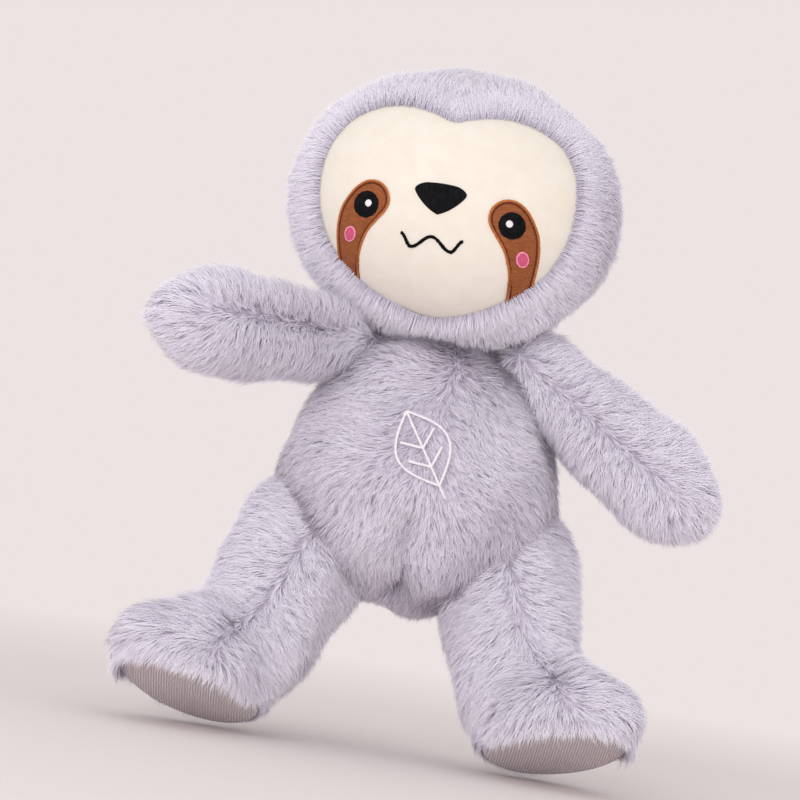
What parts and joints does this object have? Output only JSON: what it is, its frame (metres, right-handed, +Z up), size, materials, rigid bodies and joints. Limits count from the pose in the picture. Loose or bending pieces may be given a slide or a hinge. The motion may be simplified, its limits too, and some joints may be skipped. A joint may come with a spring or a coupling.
{
  "type": "plush sloth",
  "caption": "Plush sloth with stuffed head, torso, arms and legs in long-pile fabric, a smooth stitched face, a stitched leaf and knit soles; head and limbs flex at their seams.",
  "frame": {"origin": "centre of the bounding box's base, on the plane that the feet's lowest edges touch", "axes": "+Z up, the toy faces -Y, +X to the viewer's right (the toy's own left)"},
  "size_m": [0.2956, 0.1536, 0.3482],
  "materials": {
    "fur": "long pile",
    "stuffing": "matte",
    "velour": "matte",
    "brown_thread": "satin",
    "black_thread": "satin",
    "pink_thread": "satin",
    "white_thread": "satin",
    "sole_knit": "matte"
  },
  "bodies": {
    "torso": {"torso_fur": "fur", "torso_stuffing": "stuffing", "leaf_embroidery": "white_thread"},
    "head": {"head_fur": "fur", "head_stuffing": "stuffing", "face_panel": "velour", "left_eye_patch": "brown_thread", "right_eye_patch": "brown_thread", "left_eye": "black_thread", "right_eye": "black_thread", "left_eye_highlight": "white_thread", "right_eye_highlight": "white_thread", "left_cheek": "pink_thread", "right_cheek": "pink_thread", "nose": "black_thread", "mouth": "black_thread"},
    "left_arm": {"left_arm_fur": "fur", "left_arm_stuffing": "stuffing"},
    "right_arm": {"right_arm_fur": "fur", "right_arm_stuffing": "stuffing"},
    "left_leg": {"left_leg_fur": "fur", "left_leg_stuffing": "stuffing", "left_sole": "sole_knit"},
    "right_leg": {"right_leg_fur": "fur", "right_leg_stuffing": "stuffing", "right_sole": "sole_knit"}
  },
  "joints": [
    {"name": "neck_nod", "type": "hinge", "parent": "torso", "child": "head", "pos_m": [-0.0037, 0.0145, 0.16718], "axis": [1, 0, 0], "range_deg": [-10, 15], "stiffness_Nm_per_rad": 3},
    {"name": "left_shoulder", "type": "hinge", "parent": "torso", "child": "left_arm", "pos_m": [-0.0537, 0.0125, 0.20118], "axis": [-0.682, 0.7314, 0], "range_deg": [-25, 15], "stiffness_Nm_per_rad": 0.5},
    {"name": "right_shoulder", "type": "hinge", "parent": "torso", "child": "right_arm", "pos_m": [0.0463, 0.0125, 0.20118], "axis": [-0.2588, -0.9659, 0], "range_deg": [-10, 40], "stiffness_Nm_per_rad": 0.5},
    {"name": "left_hip", "type": "hinge", "parent": "torso", "child": "left_leg", "pos_m": [-0.0537, 0.0145, 0.10018], "axis": [1, 0, 0], "range_deg": [-30, 25], "stiffness_Nm_per_rad": 1.5},
    {"name": "right_hip", "type": "hinge", "parent": "torso", "child": "right_leg", "pos_m": [0.0463, 0.0145, 0.10018], "axis": [1, 0, 0], "range_deg": [-30, 25], "stiffness_Nm_per_rad": 1.5}
  ]
}
